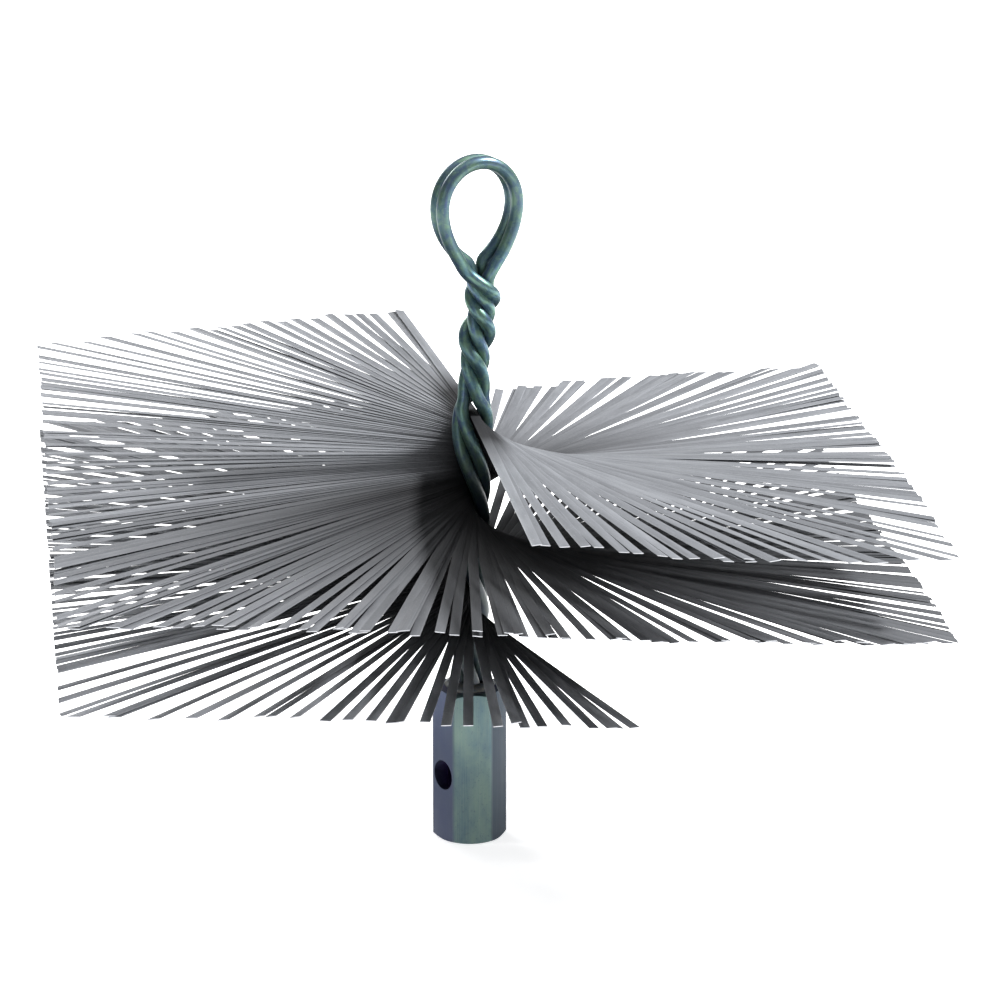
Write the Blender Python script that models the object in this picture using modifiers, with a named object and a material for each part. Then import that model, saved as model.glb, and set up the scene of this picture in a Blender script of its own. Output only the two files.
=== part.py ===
"""Square chimney sweep brush.

Flat steel wires pass straight through a twisted wire stem and stick out on both sides, stacked as a
left-handed double spiral whose ends are trimmed to a square. The stem's two round wires fold over into an
eye at the top, and their four ends sit in a hexagonal coupling that takes a sweeping rod.

Metres, +Z up. The origin is the centre of the coupling's lower face, and the square's sides lie along X and Y.
"""

import math

import bmesh
import bpy
from mathutils import Matrix, Vector

# Coupling: a hexagonal bar with a stem socket above and a rod socket with a button hole below
HEX_ACROSS_FLATS = 0.0238
COUPLING_LENGTH = 0.0575
HEX_EDGE_ROUNDING = 0.0005
HEX_EDGE_SEGMENTS = 2
CHAMFER_CIRCLE_SHARE = 0.98
CHAMFER_SLOPE = math.radians(30.0)
ROD_SOCKET_DIAMETER = 0.0160
ROD_SOCKET_DEPTH = 0.0330
SOCKET_MOUTH_CHAMFER = 0.0008
SOCKET_FLOOR_CONE = math.radians(15.0)
BUTTON_HOLE_DIAMETER = 0.0110
BUTTON_HOLE_HEIGHT = 0.0252
BUTTON_HOLE_FACET = math.radians(-150.0)
SOCKET_WEB = 0.0065
STEM_SOCKET_CLEARANCE = 0.0004
COUPLING_SEGMENTS = 32

# Weld bead on the coupling's upper face, round the stem
SEAT_CLEARANCE = 0.0003
BEAD_WIDTH = 0.0024
BEAD_HEIGHT = 0.0022
BEAD_ARC_POINTS = 5

# Flat wires, each one strip through the stem
SQUARE_SIDE = 0.3048
FLAT_WIDTH = 0.0032
FLAT_THICKNESS = 0.0003
FLAT_SPACING = 0.000185
BUNDLE_COUNT = 31
FLATS_PER_BUNDLE = 5
TOP_FLAT_ANGLE = math.radians(-87.2)
SPIRAL_TURN = math.radians(373.6)
TOP_TIP_FALL = 0.0040
BOTTOM_TIP_RISE = 0.0042
CORE_RADIUS_SHARE = 0.95
CORE_SIDES = 6

# Stem: two round wires side by side, each folded over the eye, four strands twisted together
STEM_WIRE_DIAMETER = 0.0045
STRAND_GAP = 0.00105
SLOT_CLEARANCE = 0.00032
LOWER_NECK = 0.0293
UPPER_NECK = 0.0560
UPPER_HALF_TURNS = 3
SPIN_UP_SHARE = 0.60
SPIN_DOWN_SHARE = 0.16
SLOT_BLEND = 0.0060
STEM_LEAN = 0.0036
STEM_LEAN_RUN = 0.1050
STEM_END_CLEARANCE = 0.0005
POINTS_PER_TURN = 16
STEM_BEVEL_RESOLUTION = 2
SETTLE_ROUNDS = 30

# Eye: the loop that both wires make above the twist
EYE_PLANE_ANGLE = math.radians(23.0)
EYE_HALF_WIDTH = 0.0149
EYE_WIRE_GAP = 0.0005
EYE_FLARE_LEAD = 0.0080
EYE_TAPER_HEIGHT = 0.0203
EYE_CROWN_HEIGHT = 0.0160
EYE_TAPER_POWER = 1.10
EYE_TAPER_POINTS = 8
EYE_CROWN_POINTS = 8

# Cutting
OVERRUN = 0.0020
MERGE_DISTANCE = 0.00001

# Sizes that follow from the ones above
HEX_INRADIUS = HEX_ACROSS_FLATS / 2
HEX_CORNER_RADIUS = HEX_INRADIUS / math.cos(math.pi / 6)
STEM_WIRE_RADIUS = STEM_WIRE_DIAMETER / 2
FLAT_COUNT = BUNDLE_COUNT * FLATS_PER_BUNDLE
FLAT_STEP_ANGLE = SPIRAL_TURN / (FLAT_COUNT - 1)
FLAT_STEP_HEIGHT = FLAT_THICKNESS + FLAT_SPACING
SLOT_TWIST = FLAT_STEP_ANGLE / FLAT_STEP_HEIGHT
BOTTOM_FLAT_HEIGHT = COUPLING_LENGTH + LOWER_NECK
TOP_FLAT_HEIGHT = BOTTOM_FLAT_HEIGHT + (FLAT_COUNT - 1) * FLAT_STEP_HEIGHT
EYE_NECK_HEIGHT = TOP_FLAT_HEIGHT + UPPER_NECK
STEM_SOCKET_FLOOR = ROD_SOCKET_DEPTH + SOCKET_WEB
STEM_END_HEIGHT = STEM_SOCKET_FLOOR + STEM_END_CLEARANCE
TWIST_START_HEIGHT = STEM_END_HEIGHT + STEM_WIRE_DIAMETER
UPPER_TURN = TOP_FLAT_ANGLE - (EYE_PLANE_ANGLE - math.pi / 2) + math.pi * UPPER_HALF_TURNS
SPIN_UP_RUN = SPIN_UP_SHARE * UPPER_NECK
SPIN_DOWN_RUN = SPIN_DOWN_SHARE * UPPER_NECK
STEADY_RUN = UPPER_NECK - SPIN_UP_RUN - SPIN_DOWN_RUN
UPPER_TWIST = (UPPER_TURN - SLOT_TWIST * SPIN_UP_RUN / 2) / (UPPER_NECK - (SPIN_UP_RUN + SPIN_DOWN_RUN) / 2)


def clear_scene():
    for item in list(bpy.data.objects):
        bpy.data.objects.remove(item, do_unlink=True)


def new_collection(name):
    collection = bpy.data.collections.new(name)
    bpy.context.scene.collection.children.link(collection)
    return collection


def steel(name, colour, roughness, metallic):
    material = bpy.data.materials.new(name)
    material.use_nodes = True
    shader = material.node_tree.nodes["Principled BSDF"]
    shader.inputs["Base Color"].default_value = (*colour, 1.0)
    shader.inputs["Roughness"].default_value = roughness
    shader.inputs["Metallic"].default_value = metallic
    return material


def mesh_object(name, bm, collection, material=None, location=(0, 0, 0)):
    """A new object holding the bmesh, which is freed."""
    mesh = bpy.data.meshes.new(name)
    bm.normal_update()
    bm.to_mesh(mesh)
    bm.free()
    item = bpy.data.objects.new(name, mesh)
    item.location = location
    collection.objects.link(item)
    if material is not None:
        mesh.materials.append(material)
    return item


def as_cutter(item):
    item.hide_render = True
    item.display_type = "WIRE"
    return item


def combine(item, operation, other):
    modifier = item.modifiers.new(f"{operation.lower()} {other.name}", "BOOLEAN")
    modifier.operation = operation
    modifier.solver = "EXACT"
    modifier.object = other
    return modifier


def turned(name, outline, closed, collection, material=None):
    """A solid turned about Z from (radius, height) points that run down its outer side."""
    bm = bmesh.new()
    corners = [bm.verts.new((radius, 0, height)) for radius, height in outline]
    for first, second in zip(corners, corners[1:]):
        bm.edges.new((first, second))
    if closed:
        bm.edges.new((corners[-1], corners[0]))
    item = mesh_object(name, bm, collection, material)
    screw = item.modifiers.new("turning", "SCREW")
    screw.axis = "Z"
    screw.steps = COUPLING_SEGMENTS
    screw.render_steps = COUPLING_SEGMENTS
    screw.use_merge_vertices = True
    screw.merge_threshold = MERGE_DISTANCE
    return item


def ease(share):
    """0 to 1 with a level start and end."""
    share = min(max(share, 0.0), 1.0)
    return share * share * (3.0 - 2.0 * share)


def stem_axis(height):
    """The point on the stem's axis at a height: the upper stem leans a little towards +X."""
    start = EYE_NECK_HEIGHT - STEM_LEAN_RUN
    return Vector((STEM_LEAN * ease((height - start) / STEM_LEAN_RUN), 0, height))


def upper_turn(rise):
    """The angle that the twist makes in the first rise of the upper neck, where it tightens and then stops."""
    up = min(rise, SPIN_UP_RUN)
    steady = min(max(rise - SPIN_UP_RUN, 0), STEADY_RUN)
    down = min(max(rise - SPIN_UP_RUN - STEADY_RUN, 0), SPIN_DOWN_RUN)
    turn = SLOT_TWIST * up + (UPPER_TWIST - SLOT_TWIST) * up * up / (2 * SPIN_UP_RUN)
    return turn + UPPER_TWIST * (steady + down - down * down / (2 * SPIN_DOWN_RUN))


def slot_angle(height):
    """The direction of the slot between the strands, seen from above: it falls as the height rises."""
    rise = height - TOP_FLAT_HEIGHT
    if rise <= 0:
        return TOP_FLAT_ANGLE - SLOT_TWIST * rise
    return TOP_FLAT_ANGLE - upper_turn(rise)


def strand_offsets(twist, half_slot):
    """How far a strand's centre lies from the axis, along the slot and across it.

    A level cut through a leaning strand is an oval, long round the axis. The offsets settle where the ovals
    keep the strand gap along the slot, and leave the half slot free across it.
    """
    along = STEM_WIRE_RADIUS
    across = STEM_WIRE_RADIUS
    for _ in range(SETTLE_ROUNDS):
        stretch = math.hypot(1.0, twist * math.hypot(along, across))
        bearing = math.atan2(across, along)
        along = STRAND_GAP / 2 + STEM_WIRE_RADIUS * math.hypot(math.cos(bearing), stretch * math.sin(bearing))
        across = half_slot + STEM_WIRE_RADIUS * math.hypot(math.sin(bearing), stretch * math.cos(bearing))
    return along, across


SLOT_OFFSETS = strand_offsets(SLOT_TWIST, FLAT_WIDTH / 2 + SLOT_CLEARANCE)
UPPER_OFFSETS = strand_offsets(UPPER_TWIST, STRAND_GAP / 2)
LOWER_OFFSETS = strand_offsets(SLOT_TWIST, STRAND_GAP / 2)
STEM_RADIUS = math.hypot(*LOWER_OFFSETS) + STEM_WIRE_RADIUS


def offsets_at(height):
    """Strand offsets at a height: open where the flat wires pass, closed above and below them."""
    above = ease((height - TOP_FLAT_HEIGHT - FLAT_STEP_HEIGHT) / SLOT_BLEND)
    below = ease((BOTTOM_FLAT_HEIGHT - FLAT_STEP_HEIGHT - height) / SLOT_BLEND)
    return [
        opened + above * (upper - opened) + below * (lower - opened)
        for opened, upper, lower in zip(SLOT_OFFSETS, UPPER_OFFSETS, LOWER_OFFSETS)
    ]


def eye_opening(height):
    """How far the eye's sides have spread at a height: 0 below the neck's end, 1 where the eye is widest."""
    rise = height - EYE_NECK_HEIGHT + EYE_FLARE_LEAD
    share = min(max(rise / (EYE_TAPER_HEIGHT + EYE_FLARE_LEAD), 0.0), 1.0)
    return math.sin(math.pi / 2 * share**EYE_TAPER_POWER)


def spread(across, height):
    """A strand's distance across the slot, widened by the eye's opening."""
    return across + eye_opening(height) * (EYE_HALF_WIDTH - across)


def stem_point(height, along, across):
    angle = slot_angle(height)
    slot = Vector((math.cos(angle), math.sin(angle), 0))
    side = Vector((-math.sin(angle), math.cos(angle), 0))
    return stem_axis(height) + along * slot + across * side


def strand_path(row, side):
    """A strand from its straight end in the coupling up to the eye's neck; row and side are 1 or -1."""
    turn = slot_angle(TWIST_START_HEIGHT) - slot_angle(EYE_NECK_HEIGHT)
    count = round(turn / (2 * math.pi) * POINTS_PER_TURN)
    heights = []
    for step in range(count + 1):
        heights.append(height_at_turn(turn * step / count))
    points = []
    for height in heights:
        along, across = offsets_at(height)
        points.append(stem_point(height, row * along, side * spread(across, height)))
    return [points[0] - Vector((0, 0, STEM_WIRE_DIAMETER))] + points


def height_at_turn(turn):
    """The height at which the strand has turned so far from where the twist starts."""
    low = TWIST_START_HEIGHT
    high = EYE_NECK_HEIGHT
    target = slot_angle(TWIST_START_HEIGHT) - turn
    for _ in range(SETTLE_ROUNDS):
        middle = (low + high) / 2
        if slot_angle(middle) > target:
            low = middle
        else:
            high = middle
    return (low + high) / 2


def eye_path(row):
    """One wire's way round the eye, from one side of the neck over the crown to the other."""
    neck_along, neck_across = offsets_at(EYE_NECK_HEIGHT)
    eye_along = STEM_WIRE_RADIUS + EYE_WIRE_GAP / 2
    half = []
    for step in range(1, EYE_TAPER_POINTS + 1):
        share = step / EYE_TAPER_POINTS
        rise = share * EYE_TAPER_HEIGHT
        along = neck_along + ease(share) * (eye_along - neck_along)
        half.append((rise, along, spread(neck_across, EYE_NECK_HEIGHT + rise)))
    for step in range(1, EYE_CROWN_POINTS + 1):
        bearing = math.pi / 2 * step / EYE_CROWN_POINTS
        height = EYE_TAPER_HEIGHT + EYE_CROWN_HEIGHT * math.sin(bearing)
        half.append((height, eye_along, EYE_HALF_WIDTH * math.cos(bearing)))
    return [
        stem_point(EYE_NECK_HEIGHT + height, row * along, side * across)
        for side, run in ((1, half), (-1, half[-2::-1]))
        for height, along, across in run
    ]


def wire_path(row):
    up = strand_path(row, 1)
    down = strand_path(row, -1)
    return up + eye_path(row) + down[::-1]


def least_gap(first, second):
    """The least distance between two runs of centre points, less one wire diameter."""
    nearest = min((one - other).length for one in dense(first) for other in dense(second))
    return nearest - STEM_WIRE_DIAMETER


def dense(points):
    """The points with three more between each two."""
    run = []
    for first, second in zip(points, points[1:]):
        run += [first.lerp(second, quarter / 4) for quarter in range(4)]
    return run + [points[-1]]


def print_stem_gaps():
    strands = {
        (row, side): strand_path(row, side) for row in (1, -1) for side in (1, -1)
    }
    own = min(least_gap(strands[row, 1], strands[row, -1]) for row in (1, -1))
    other = min(least_gap(strands[1, side], strands[-1, way]) for side in (1, -1) for way in (1, -1))
    print(f"least gap of a stem wire to itself {own * 1000:.3f} mm, to the other wire {other * 1000:.3f} mm")


def round_wire(name, points, collection, material):
    """A closed tube along the points, made as a bevelled curve and turned into a mesh with welded caps."""
    curve = bpy.data.curves.new(name, "CURVE")
    curve.dimensions = "3D"
    curve.bevel_depth = STEM_WIRE_RADIUS
    curve.bevel_resolution = STEM_BEVEL_RESOLUTION
    curve.use_fill_caps = True
    spline = curve.splines.new("POLY")
    spline.points.add(len(points) - 1)
    for target, point in zip(spline.points, points):
        target.co = (*point, 1.0)
    guide = bpy.data.objects.new(name + "_guide", curve)
    collection.objects.link(guide)
    bpy.context.view_layer.update()
    evaluated = guide.evaluated_get(bpy.context.evaluated_depsgraph_get())
    mesh = bpy.data.meshes.new_from_object(evaluated)
    bm = bmesh.new()
    bm.from_mesh(mesh)
    bmesh.ops.remove_doubles(bm, verts=bm.verts, dist=MERGE_DISTANCE)
    bm.to_mesh(mesh)
    bm.free()
    mesh.name = name
    mesh.materials.clear()
    mesh.materials.append(material)
    mesh.shade_smooth()
    wire = bpy.data.objects.new(name, mesh)
    wire.matrix_world = guide.matrix_world
    collection.objects.link(wire)
    bpy.data.objects.remove(guide, do_unlink=True)
    return wire


def hexagon_blank(collection, material):
    """The hexagonal bar, a facet facing -Y, with its six long edges lightly rounded."""
    bm = bmesh.new()
    bmesh.ops.create_cone(
        bm,
        cap_ends=True,
        segments=6,
        radius1=HEX_CORNER_RADIUS,
        radius2=HEX_CORNER_RADIUS,
        depth=COUPLING_LENGTH,
    )
    bmesh.ops.rotate(bm, verts=bm.verts, matrix=Matrix.Rotation(math.pi / 6, 3, "Z"))
    bmesh.ops.translate(bm, verts=bm.verts, vec=(0, 0, COUPLING_LENGTH / 2))
    facets_meet = [edge for edge in bm.edges if abs(edge.verts[0].co.z - edge.verts[1].co.z) > HEX_INRADIUS]
    bmesh.ops.bevel(
        bm,
        geom=facets_meet,
        offset=HEX_EDGE_ROUNDING,
        segments=HEX_EDGE_SEGMENTS,
        profile=0.5,
        affect="EDGES",
    )
    return mesh_object("coupling", bm, collection, material)


def chamfer_envelope(collection):
    """A turned envelope that takes the corners off both ends of the bar."""
    circle = HEX_INRADIUS * CHAMFER_CIRCLE_SHARE
    outside = HEX_CORNER_RADIUS + OVERRUN
    drop = (outside - circle) * math.tan(CHAMFER_SLOPE)
    outline = [
        (0, COUPLING_LENGTH),
        (circle, COUPLING_LENGTH),
        (outside, COUPLING_LENGTH - drop),
        (outside, drop),
        (circle, 0),
        (0, 0),
    ]
    return as_cutter(turned("chamfer_envelope", outline, False, collection))


def rod_socket(collection):
    """The plain socket for a rod's end, open below, with a coned floor and a chamfered mouth."""
    radius = ROD_SOCKET_DIAMETER / 2
    mouth = radius + SOCKET_MOUTH_CHAMFER + OVERRUN
    outline = [
        (0, ROD_SOCKET_DEPTH),
        (radius, ROD_SOCKET_DEPTH - radius * math.tan(SOCKET_FLOOR_CONE)),
        (radius, SOCKET_MOUTH_CHAMFER),
        (mouth, -OVERRUN),
        (0, -OVERRUN),
    ]
    return as_cutter(turned("rod_socket", outline, False, collection))


def stem_socket(collection):
    """The socket in the coupling's upper end that the four strands stand in."""
    radius = STEM_RADIUS + STEM_SOCKET_CLEARANCE
    outline = [
        (0, COUPLING_LENGTH + OVERRUN),
        (radius, COUPLING_LENGTH + OVERRUN),
        (radius, STEM_SOCKET_FLOOR),
        (0, STEM_SOCKET_FLOOR),
    ]
    return as_cutter(turned("stem_socket", outline, False, collection))


def button_hole(collection):
    """The round hole through one facet into the rod socket, where the rod's spring button snaps in."""
    bm = bmesh.new()
    bmesh.ops.create_cone(
        bm,
        cap_ends=True,
        segments=COUPLING_SEGMENTS,
        radius1=BUTTON_HOLE_DIAMETER / 2,
        radius2=BUTTON_HOLE_DIAMETER / 2,
        depth=HEX_CORNER_RADIUS,
    )
    hole = mesh_object("button_hole", bm, collection)
    outward = Vector((math.cos(BUTTON_HOLE_FACET), math.sin(BUTTON_HOLE_FACET), 0))
    reach = HEX_INRADIUS + OVERRUN - HEX_CORNER_RADIUS / 2
    hole.location = outward * reach + Vector((0, 0, BUTTON_HOLE_HEIGHT))
    hole.rotation_euler = (0, math.pi / 2, BUTTON_HOLE_FACET)
    return as_cutter(hole)


def make_coupling(parts, cutters, material):
    coupling = hexagon_blank(parts, material)
    combine(coupling, "INTERSECT", chamfer_envelope(cutters))
    combine(coupling, "DIFFERENCE", rod_socket(cutters))
    combine(coupling, "DIFFERENCE", stem_socket(cutters))
    combine(coupling, "DIFFERENCE", button_hole(cutters))
    return coupling


def make_weld_bead(parts, material):
    """A hollow-cheeked ring that fills the corner between the coupling's upper face and the stem."""
    inner = STEM_RADIUS + STEM_SOCKET_CLEARANCE
    floor = COUPLING_LENGTH + SEAT_CLEARANCE
    outline = [(inner, floor), (inner, floor + BEAD_HEIGHT)]
    for step in range(1, BEAD_ARC_POINTS):
        bearing = math.pi / 2 * step / BEAD_ARC_POINTS
        outline.append(
            (inner + BEAD_WIDTH * math.sin(bearing), floor + BEAD_HEIGHT * math.cos(bearing))
        )
    outline.append((inner + BEAD_WIDTH, floor))
    return turned("stem_weld_bead", outline, True, parts, material)


def make_stem(parts, material):
    round_wire("stem_wire_front", wire_path(-1), parts, material)
    round_wire("stem_wire_rear", wire_path(1), parts, material)


def square_trim(collection):
    """The square that every flat wire is cut to."""
    bm = bmesh.new()
    size = Matrix.Diagonal((SQUARE_SIDE, SQUARE_SIDE, EYE_NECK_HEIGHT - COUPLING_LENGTH, 1.0))
    bmesh.ops.create_cube(bm, size=1.0, matrix=size)
    middle = (0, 0, (COUPLING_LENGTH + EYE_NECK_HEIGHT) / 2)
    return as_cutter(mesh_object("square_trim", bm, collection, location=middle))


def add_strip(bm, number, middle):
    """One untrimmed strip whose two halves slope away from its middle, placed about the bundle's middle point."""
    height = TOP_FLAT_HEIGHT - number * FLAT_STEP_HEIGHT
    length = SQUARE_SIDE * math.sqrt(2.0) + 2 * OVERRUN
    fall = TOP_TIP_FALL - (TOP_TIP_FALL + BOTTOM_TIP_RISE) * number / (FLAT_COUNT - 1)
    drop = Vector((0, 0, fall * length / SQUARE_SIDE))
    place = Matrix.Translation(stem_axis(height) - middle - drop)
    turn = Matrix.Rotation(slot_angle(height), 4, "Z")
    size = Matrix.Diagonal((length, FLAT_WIDTH, FLAT_THICKNESS, 1.0))
    corners = bmesh.ops.create_cube(bm, size=1.0, matrix=place @ turn @ size)["verts"]
    edges = {edge for corner in corners for edge in corner.link_edges}
    long_edges = [edge for edge in edges if edge.calc_length() > FLAT_WIDTH + FLAT_THICKNESS]
    halved = bmesh.ops.subdivide_edges(bm, edges=long_edges, cuts=1)
    halfway = [item for item in halved["geom_inner"] if isinstance(item, bmesh.types.BMVert)]
    bmesh.ops.translate(bm, verts=halfway, vec=drop)


def flat_strips(name, first, middle, collection):
    """The strips of one bundle, before they are trimmed."""
    bm = bmesh.new()
    for number in range(first, first + FLATS_PER_BUNDLE):
        add_strip(bm, number, middle)
    return as_cutter(mesh_object(name, bm, collection, location=middle))


def make_bundle(number, trim, parts, cutters, material):
    """One bundle of flat wires, held together by a small core in the stem's slot."""
    first = number * FLATS_PER_BUNDLE
    rise = (FLATS_PER_BUNDLE - 1) * FLAT_STEP_HEIGHT
    middle = stem_axis(TOP_FLAT_HEIGHT - first * FLAT_STEP_HEIGHT - rise / 2)
    strips = flat_strips(f"flat_strips_{number + 1:02d}", first, middle, cutters)
    bm = bmesh.new()
    core_radius = FLAT_WIDTH / 2 * CORE_RADIUS_SHARE
    bmesh.ops.create_cone(
        bm,
        cap_ends=True,
        segments=CORE_SIDES,
        radius1=core_radius,
        radius2=core_radius,
        depth=rise,
    )
    bundle = mesh_object(f"flat_wires_{number + 1:02d}", bm, parts, material, middle)
    combine(bundle, "UNION", strips)
    combine(bundle, "INTERSECT", trim)
    return bundle


def main():
    clear_scene()
    parts = new_collection("chimney_sweep_brush")
    cutters = new_collection("cutters")
    flat_steel = steel("flat wire steel", (0.27, 0.27, 0.28), 0.42, 0.9)
    stem_steel = steel("stem wire steel", (0.10, 0.17, 0.16), 0.38, 0.85)
    coupling_steel = steel("coupling steel", (0.16, 0.22, 0.21), 0.40, 0.85)
    bead_steel = steel("weld steel", (0.12, 0.15, 0.15), 0.55, 0.8)
    make_coupling(parts, cutters, coupling_steel)
    make_weld_bead(parts, bead_steel)
    make_stem(parts, stem_steel)
    trim = square_trim(cutters)
    for number in range(BUNDLE_COUNT):
        make_bundle(number, trim, parts, cutters, flat_steel)
    print_stem_gaps()
    print(f"height {(EYE_NECK_HEIGHT + EYE_TAPER_HEIGHT + EYE_CROWN_HEIGHT + STEM_WIRE_RADIUS) * 1000:.1f} mm")


main()
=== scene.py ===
"""Looks of the square chimney sweep brush: its finishes, its fine surfaces, the studio and the camera."""

import math
import random

import bmesh
import bpy
from mathutils import Matrix, Vector


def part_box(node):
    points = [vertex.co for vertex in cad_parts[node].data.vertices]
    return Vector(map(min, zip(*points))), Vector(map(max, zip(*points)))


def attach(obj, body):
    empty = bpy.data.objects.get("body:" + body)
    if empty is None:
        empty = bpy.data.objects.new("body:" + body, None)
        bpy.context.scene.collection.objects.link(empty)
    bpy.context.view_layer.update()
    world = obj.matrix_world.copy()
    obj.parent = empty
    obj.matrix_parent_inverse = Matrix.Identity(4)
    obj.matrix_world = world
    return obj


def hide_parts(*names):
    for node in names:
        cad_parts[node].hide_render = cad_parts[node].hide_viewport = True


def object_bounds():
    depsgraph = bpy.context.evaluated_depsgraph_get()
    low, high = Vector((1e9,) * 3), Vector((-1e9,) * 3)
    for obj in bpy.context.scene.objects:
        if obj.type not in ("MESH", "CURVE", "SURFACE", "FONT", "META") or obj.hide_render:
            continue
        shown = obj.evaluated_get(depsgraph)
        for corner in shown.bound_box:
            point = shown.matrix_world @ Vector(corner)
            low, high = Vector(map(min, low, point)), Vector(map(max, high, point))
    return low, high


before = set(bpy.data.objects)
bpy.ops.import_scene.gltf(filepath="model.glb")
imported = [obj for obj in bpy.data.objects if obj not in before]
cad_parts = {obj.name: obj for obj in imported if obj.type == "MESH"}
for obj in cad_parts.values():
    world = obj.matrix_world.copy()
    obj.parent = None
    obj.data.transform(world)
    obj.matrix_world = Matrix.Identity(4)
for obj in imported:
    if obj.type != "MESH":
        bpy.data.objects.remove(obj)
CAD_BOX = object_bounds()

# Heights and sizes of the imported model
COUPLING_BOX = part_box("coupling")
BUNDLE_NAMES = sorted(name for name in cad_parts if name.startswith("flat_wires_"))
TOP_BUNDLE_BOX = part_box(BUNDLE_NAMES[0])
BOTTOM_BUNDLE_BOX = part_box(BUNDLE_NAMES[-1])

# Coupling
COUPLING_LENGTH = COUPLING_BOX[1].z
HEX_INRADIUS = COUPLING_BOX[1].y
HEX_CORNER_RADIUS = HEX_INRADIUS / math.cos(math.pi / 6)
HEX_EDGE_ROUNDING = 0.0007
HEX_EDGE_SEGMENTS = 5
CHAMFER_CIRCLE_SHARE = 0.98
CHAMFER_SLOPE = math.radians(30.0)
ROD_SOCKET_RADIUS = 0.0080
ROD_SOCKET_DEPTH = 0.0330
SOCKET_MOUTH_CHAMFER = 0.0008
SOCKET_FLOOR_CONE = math.radians(15.0)
BUTTON_HOLE_RADIUS = 0.0055
BUTTON_HOLE_HEIGHT = 0.0252
BUTTON_HOLE_FACET = math.radians(-150.0)
STEM_SOCKET_DEPTH = 0.0180
STEM_SOCKET_RADIUS = 0.0067
TURNED_SIDES = 96
CUT_LIP = 0.00025
CUT_LIP_SEGMENTS = 2
CUT_LIP_ANGLE = math.radians(28.0)
COUPLING_CREASE = math.radians(22.0)
MERGE_DISTANCE = 1e-6
OVERRUN = 0.0020

# Flat wires: an uneven double spiral, sparse at both ends, whose topmost wires lean and bend
SQUARE_HALF = CAD_BOX[1].y
SOLID_FLATS_PER_BUNDLE = 5
SOLID_FLAT_COUNT = SOLID_FLATS_PER_BUNDLE * len(BUNDLE_NAMES)
TOP_SPARSE_BUNDLES = 4
BOTTOM_SPARSE_BUNDLES = 6
TOP_SPARSE_FLATS = 6
BOTTOM_SPARSE_FLATS = 5
DENSE_FLATS = 8
SHADED_BUNDLES = range(17, 23)
SHADED_FLATS = 12
FLAT_WIDTH = 0.0035
FLAT_THICKNESS = 0.0003
FLAT_EDGE_ACROSS = 0.00030
FLAT_EDGE_DOWN = 0.00010
TOP_FLAT_ANGLE = math.radians(-87.2)
SPIRAL_TURN = math.radians(373.6)
BUNDLE_TURN = SPIRAL_TURN * SOLID_FLATS_PER_BUNDLE / (SOLID_FLAT_COUNT - 1)
FLAT_STATIONS = (0.03, 0.10, 0.20, 0.32, 0.45, 0.58, 0.70, 0.82, 0.92)
TOP_TIP_FALL = 0.0040
BOTTOM_TIP_RISE = 0.0042
TOP_TILT = 0.0032
TILT_TURN = math.radians(75.0)
FIRST_TILT_TURN = math.radians(22.0)
TOP_BEND = math.radians(2.5)
TOP_BEND_TURN = math.radians(50.0)
SPARSE_CLOSE_STEPS = 1
DENSE_CLOSE_STEPS = 5
CLOSE_ANGLES = (0.6, 1.35)
WIDE_ANGLES = (2.0, 3.4)
FLAT_ANGLE_SPREAD = math.radians(0.4)
FLAT_TIP_SPREAD = 0.0009
FLAT_TWIST_SPREAD = math.radians(9.0)
FLAT_SHORTFALL = 0.0008
FLAT_SEED = 14
MARK_SPREAD = 10.0
STRIP_CREASE = math.radians(50.0)
DIRECTION_LIMIT = 1e-6

# Painted shade on the flat wires, darkening them near the stem and where the turn above covers them: how far
# it reaches from the stem, and where on the spiral it starts
PAINTED_SHADE_REACH = 0.165
PAINTED_SHADE_START = math.radians(80.0)
PAINTED_SHADE_TURN = math.radians(40.0)
DEEP_PAINTED_SHADE_REACH = 0.430
DEEP_PAINTED_SHADE_STARTS = (math.radians(100.0), math.radians(160.0))
DEEP_PAINTED_SHADE_TURN = math.radians(12.0)
# Painted shadow of the stem on the roots of the topmost wires
TOP_PAINTED_SHADE_PLATEAU = 0.4
TOP_PAINTED_SHADE = 0.98
TOP_PAINTED_SHADE_REACH = 0.024
FIRST_PAINTED_SHADE_TURN = math.radians(22.0)
FIRST_PAINTED_SHADE_REACH = 0.075

# Stem wires: four strands that grip the flat wires, twist faster above them and open into the eye
TOP_FLAT_HEIGHT = TOP_BUNDLE_BOX[1].z - FLAT_THICKNESS / 2
BOTTOM_FLAT_HEIGHT = BOTTOM_BUNDLE_BOX[0].z + FLAT_THICKNESS / 2
BUNDLE_HEIGHT = (TOP_FLAT_HEIGHT - BOTTOM_FLAT_HEIGHT) * SOLID_FLATS_PER_BUNDLE / (SOLID_FLAT_COUNT - 1)
SLOT_TWIST = BUNDLE_TURN / BUNDLE_HEIGHT
STEM_WIRE_RADIUS = 0.0024
STRAND_GAP = 0.0002
SLOT_CLEARANCE = 0.00010
UPPER_OFFSETS = (0.0023, 0.0026)
UPPER_SHEAR = -0.0012
SHEAR_START = 0.0145
SHEAR_RUN = 0.0120
SHEAR_FADE = 0.0120
UPPER_NECK = 0.0534
UPPER_HALF_TURNS = 3
SPIN_UP_RUN = 0.0470
SPIN_UP_POWER = 1.3
SLOT_BLEND = 0.0060
STEM_LEAN = 0.0030
STEM_LEAN_RUN = 0.1050
STEM_BOW = 0.0022
STEM_BOW_HEIGHT = 0.2020
STEM_BOW_REACH = 0.0160
STEM_END_HEIGHT = 0.0400
SETTLE_ROUNDS = 30
STRAND_POINTS = 190
STEM_SIDES = 20
STEM_SMOOTH_ROUNDS = 3
# Painted shade in the grooves, on the sides of the strands that face the stem's axis
GROOVE_REACH = 0.0050
GROOVE_FADE = 0.0030
GROOVE_WRAP = 0.35
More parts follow.
